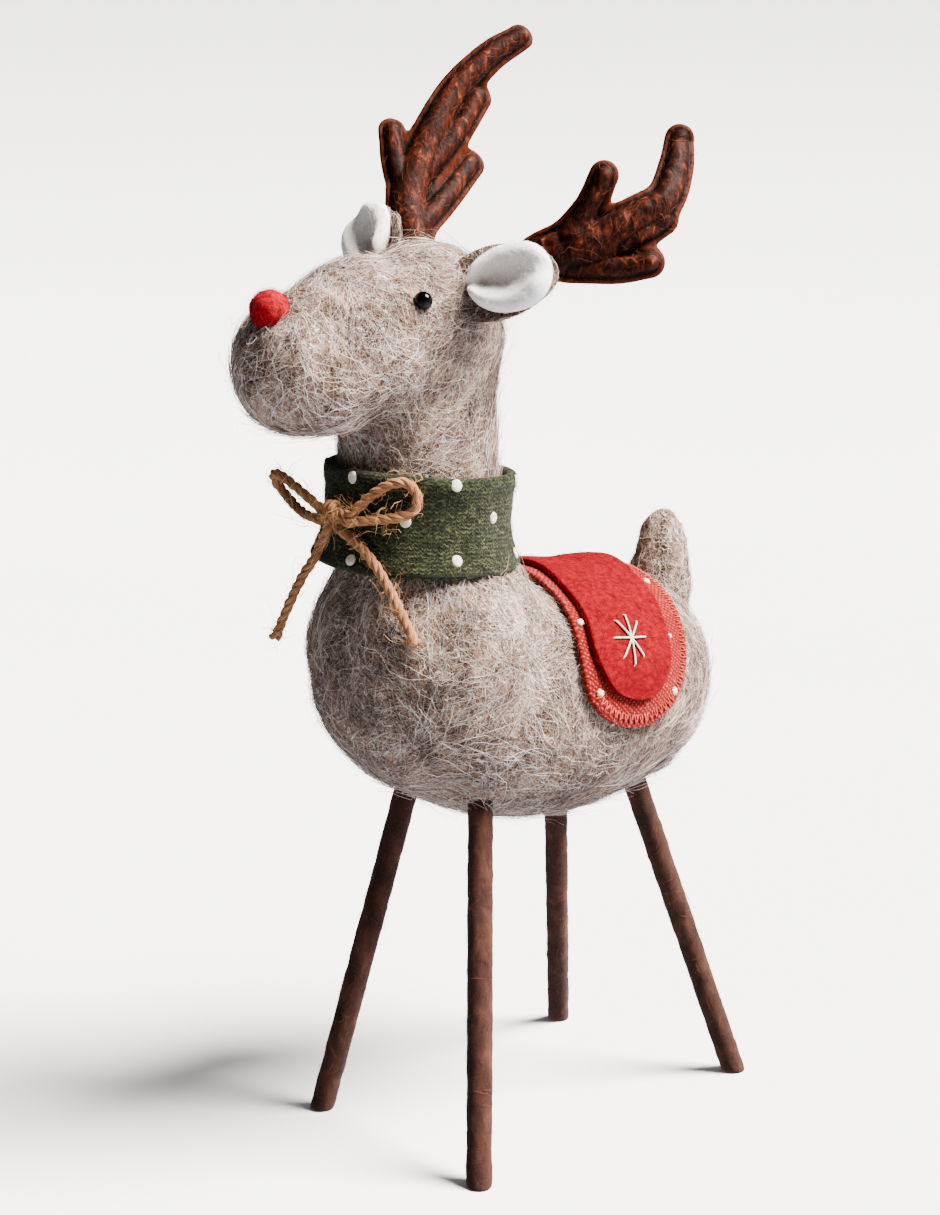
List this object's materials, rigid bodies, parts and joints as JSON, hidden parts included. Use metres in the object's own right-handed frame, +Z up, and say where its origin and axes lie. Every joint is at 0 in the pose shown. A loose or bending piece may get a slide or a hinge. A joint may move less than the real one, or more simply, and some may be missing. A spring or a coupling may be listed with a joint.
{
  "type": "reindeer figurine",
  "caption": "Standing reindeer figure of felted wool on splayed wrapped legs, with cloth antlers, knitted collar, cord bow and felt saddle blanket.",
  "frame": {"origin": "on the surface it stands on, under the middle of the bounding box of all pieces but the bow's cords", "axes": "+Z up, -Y the way the animal faces, +X its own left side"},
  "size_m": [0.1039, 0.1778, 0.3236],
  "materials": {
    "felted_wool": "matte, fibrous",
    "white_fleece": "matte, short pile",
    "brown_suede_cloth": "soft sheen",
    "red_wool_ball": "matte",
    "black_bead": "polished",
    "green_knit": "matte, knitted",
    "jute_cord": "matte, twisted",
    "coral_tweed_felt": "matte",
    "red_plush_felt": "matte, short pile",
    "brown_wrapped_felt": "matte"
  },
  "bodies": {
    "root": {"wool_body": "felted_wool", "tail": "felted_wool", "ear_left": "felted_wool", "ear_right": "felted_wool", "ear_lining_left": "white_fleece", "ear_lining_right": "white_fleece", "antler_left": "brown_suede_cloth", "antler_right": "brown_suede_cloth", "nose": "red_wool_ball", "eye_left": "black_bead", "eye_right": "black_bead", "collar": "green_knit", "bow_knot": "jute_cord", "bow_loop_left": "jute_cord", "bow_loop_right": "jute_cord", "bow_tail_left": "jute_cord", "bow_tail_right": "jute_cord", "saddle_blanket": "coral_tweed_felt", "saddle_top": "red_plush_felt", "leg_front_left": "brown_wrapped_felt", "leg_front_right": "brown_wrapped_felt", "leg_rear_left": "brown_wrapped_felt", "leg_rear_right": "brown_wrapped_felt"}
  },
  "joints": []
}
